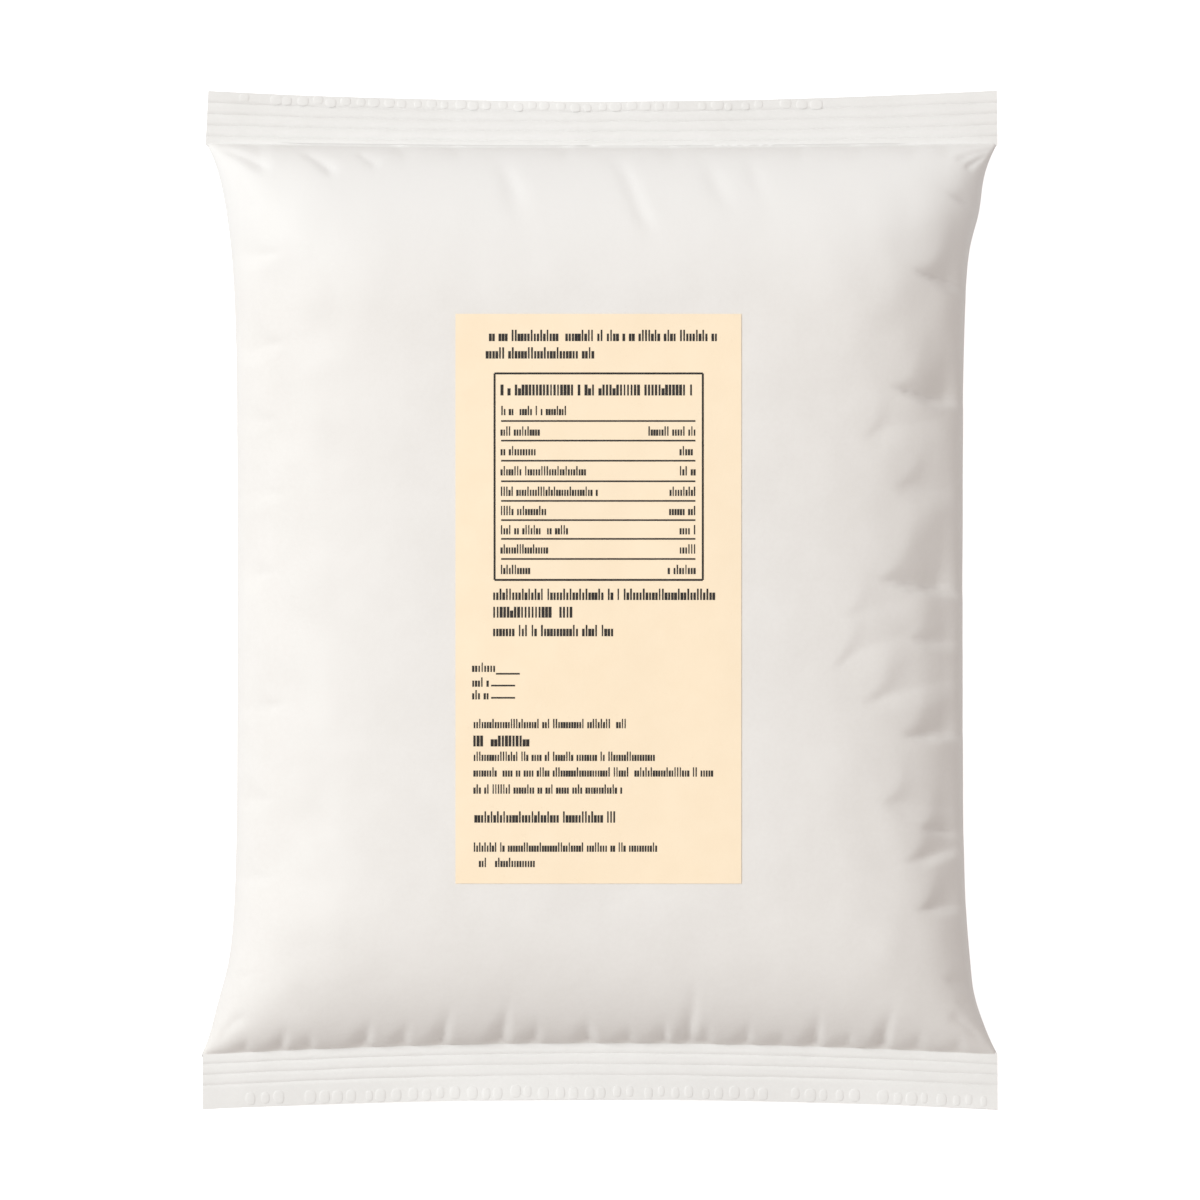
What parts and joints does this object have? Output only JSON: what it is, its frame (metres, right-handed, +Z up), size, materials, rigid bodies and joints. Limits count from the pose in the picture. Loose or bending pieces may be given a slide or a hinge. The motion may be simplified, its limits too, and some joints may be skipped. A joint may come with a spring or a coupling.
{
  "type": "bag of sugar",
  "caption": "Filled pillow bag of sugar lying on its back: white film crimped flat at both ends, creased shoulders, and a tall cream label on the front.",
  "frame": {"origin": "on the table, under the middle of the bag as it lies on its back", "axes": "+Z up through the labelled front, +Y along the bag towards its top seal, +X across it to the label's right"},
  "size_m": [0.184, 0.236, 0.042],
  "materials": {
    "film": "white satin film, opaque",
    "label_paper": "cream paper with dark print"
  },
  "bodies": {
    "root": {"bag": "film", "label": "label_paper"}
  },
  "joints": []
}
